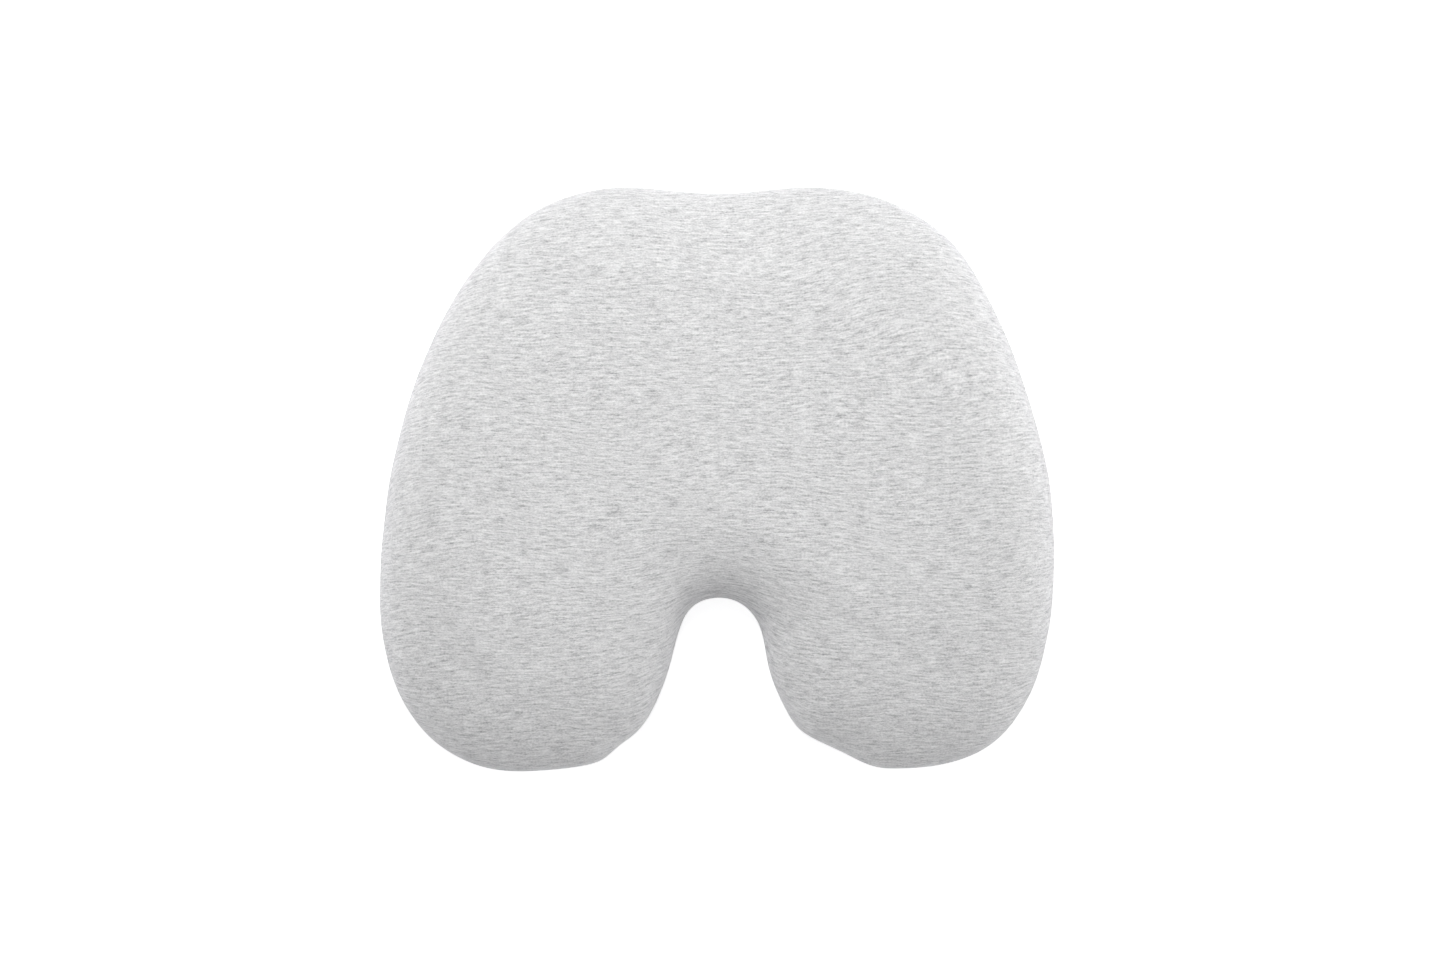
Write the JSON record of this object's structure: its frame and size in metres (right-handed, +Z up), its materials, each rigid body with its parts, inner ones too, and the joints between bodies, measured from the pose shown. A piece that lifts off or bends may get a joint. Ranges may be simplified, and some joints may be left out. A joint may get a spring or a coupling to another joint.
{
  "type": "seat cushion",
  "caption": "Contoured foam seat cushion with a tailbone notch, in a heather knit cover with a grip-fabric base closed by a zip.",
  "frame": {"origin": "on the surface that the cushion rests on, under the middle of its outline", "axes": "+Z up, +Y towards the front edge, under the sitter's thighs; the tailbone notch opens towards -Y; +X to the sitter's right"},
  "size_m": [0.4546, 0.395, 0.084],
  "materials": {
    "memory_foam": "open-cell moulded foam, matt",
    "liner_tricot": "thin white warp knit, matt",
    "heather_knit": "soft jersey knit of mixed light grey yarns, slightly fuzzy",
    "grip_fabric": "dark woven base fabric with printed silicone grip dots",
    "zip_tape": "woven polyester tape",
    "zip_nylon": "moulded nylon coil",
    "zip_metal": "gunmetal-plated zinc casting, satin",
    "label_satin": "blank satin ribbon"
  },
  "bodies": {
    "cushion": {"foam_core": "memory_foam", "liner_upper": "liner_tricot", "liner_base": "liner_tricot", "cover_upper": "heather_knit", "base_panel_front": "grip_fabric", "base_panel_rear": "grip_fabric", "zip_tape_front": "zip_tape", "zip_tape_rear": "zip_tape", "zip_coil_front": "zip_nylon", "zip_coil_rear": "zip_nylon", "zip_top_stop_front": "zip_metal", "zip_top_stop_rear": "zip_metal", "zip_bottom_stop": "zip_metal", "care_label": "label_satin"},
    "slider": {"zip_slider": "zip_metal"},
    "pull_tab": {"zip_pull_tab": "zip_metal"}
  },
  "joints": [
    {"name": "zip_slide", "type": "slide", "parent": "cushion", "child": "slider", "axis": [1, 0, 0], "range_m": [0, 0.2875]},
    {"name": "pull_tab_hinge", "type": "hinge", "parent": "slider", "child": "pull_tab", "pos_m": [-0.14376, 0.02, 0.00235], "axis": [0, 1, 0], "range_deg": [0, 160]}
  ]
}
